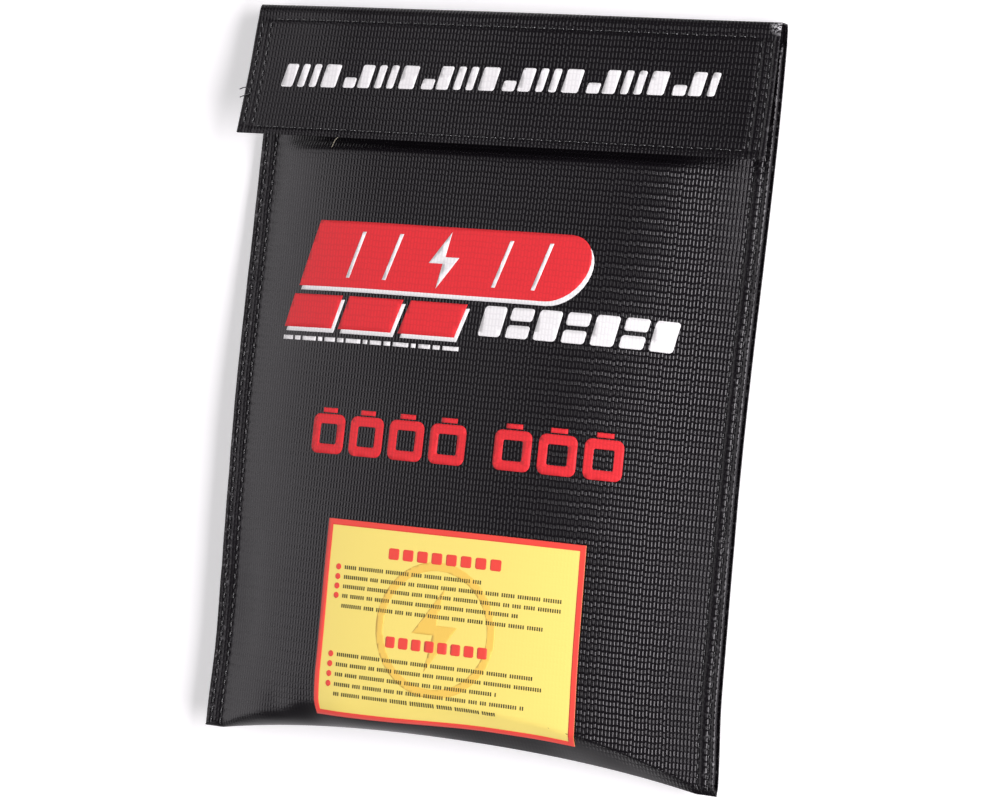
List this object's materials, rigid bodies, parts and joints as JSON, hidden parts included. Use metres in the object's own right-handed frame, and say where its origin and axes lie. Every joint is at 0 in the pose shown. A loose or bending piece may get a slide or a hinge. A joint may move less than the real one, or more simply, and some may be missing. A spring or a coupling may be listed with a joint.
{
  "type": "battery charging pouch",
  "caption": "Flat fire-resistant pouch of coated glass cloth for lithium polymer packs, with a hook and loop flap over its mouth.",
  "frame": {"origin": "middle of the bag's outline on the surface that the bag lies on, back down", "axes": "+X to the bag's right as its front is read, +Y from the bottom fold to the top fold, +Z out of the front"},
  "size_m": [0.234, 0.3, 0.0316],
  "materials": {
    "shell_cloth": "black coated glass cloth with a visible weave, semi-gloss",
    "lining_cloth": "bare glass cloth, off-white",
    "loop_tape": "black brushed loops",
    "hook_tape": "black moulded hooks",
    "thread": "black polyester sewing thread",
    "label_film": "printed transfer film, satin"
  },
  "bodies": {
    "pouch": {"front_panel": "shell_cloth", "back_panel": "shell_cloth", "bottom_fold": "shell_cloth", "front_lining": "lining_cloth", "back_lining": "lining_cloth", "left_seam_allowance": "shell_cloth", "right_seam_allowance": "shell_cloth", "mouth_hem": "shell_cloth", "mouth_hem_thread": "thread", "loop_tape": "loop_tape", "loop_tape_thread": "thread", "label_film": "label_film", "left_outer_needle_thread": "thread", "left_outer_bobbin_thread": "thread", "left_inner_needle_thread": "thread", "left_inner_bobbin_thread": "thread", "right_outer_needle_thread": "thread", "right_outer_bobbin_thread": "thread", "right_inner_needle_thread": "thread", "right_inner_bobbin_thread": "thread"},
    "flap": {"top_fold": "shell_cloth", "flap_shell": "shell_cloth", "flap_facing": "shell_cloth", "hook_tape": "hook_tape", "hook_tape_thread": "thread", "flap_top_thread": "thread", "flap_bottom_thread": "thread", "flap_bobbin_thread": "thread", "flap_left_outer_thread": "thread", "flap_left_inner_thread": "thread", "flap_right_outer_thread": "thread", "flap_right_inner_thread": "thread"}
  },
  "joints": [
    {"name": "flap_hinge", "type": "hinge", "parent": "pouch", "child": "flap", "pos_m": [0, 0.15434, 0.0086], "axis": [-1, 0, 0], "range_deg": [0, 172], "deforming": ["top_fold"]}
  ]
}
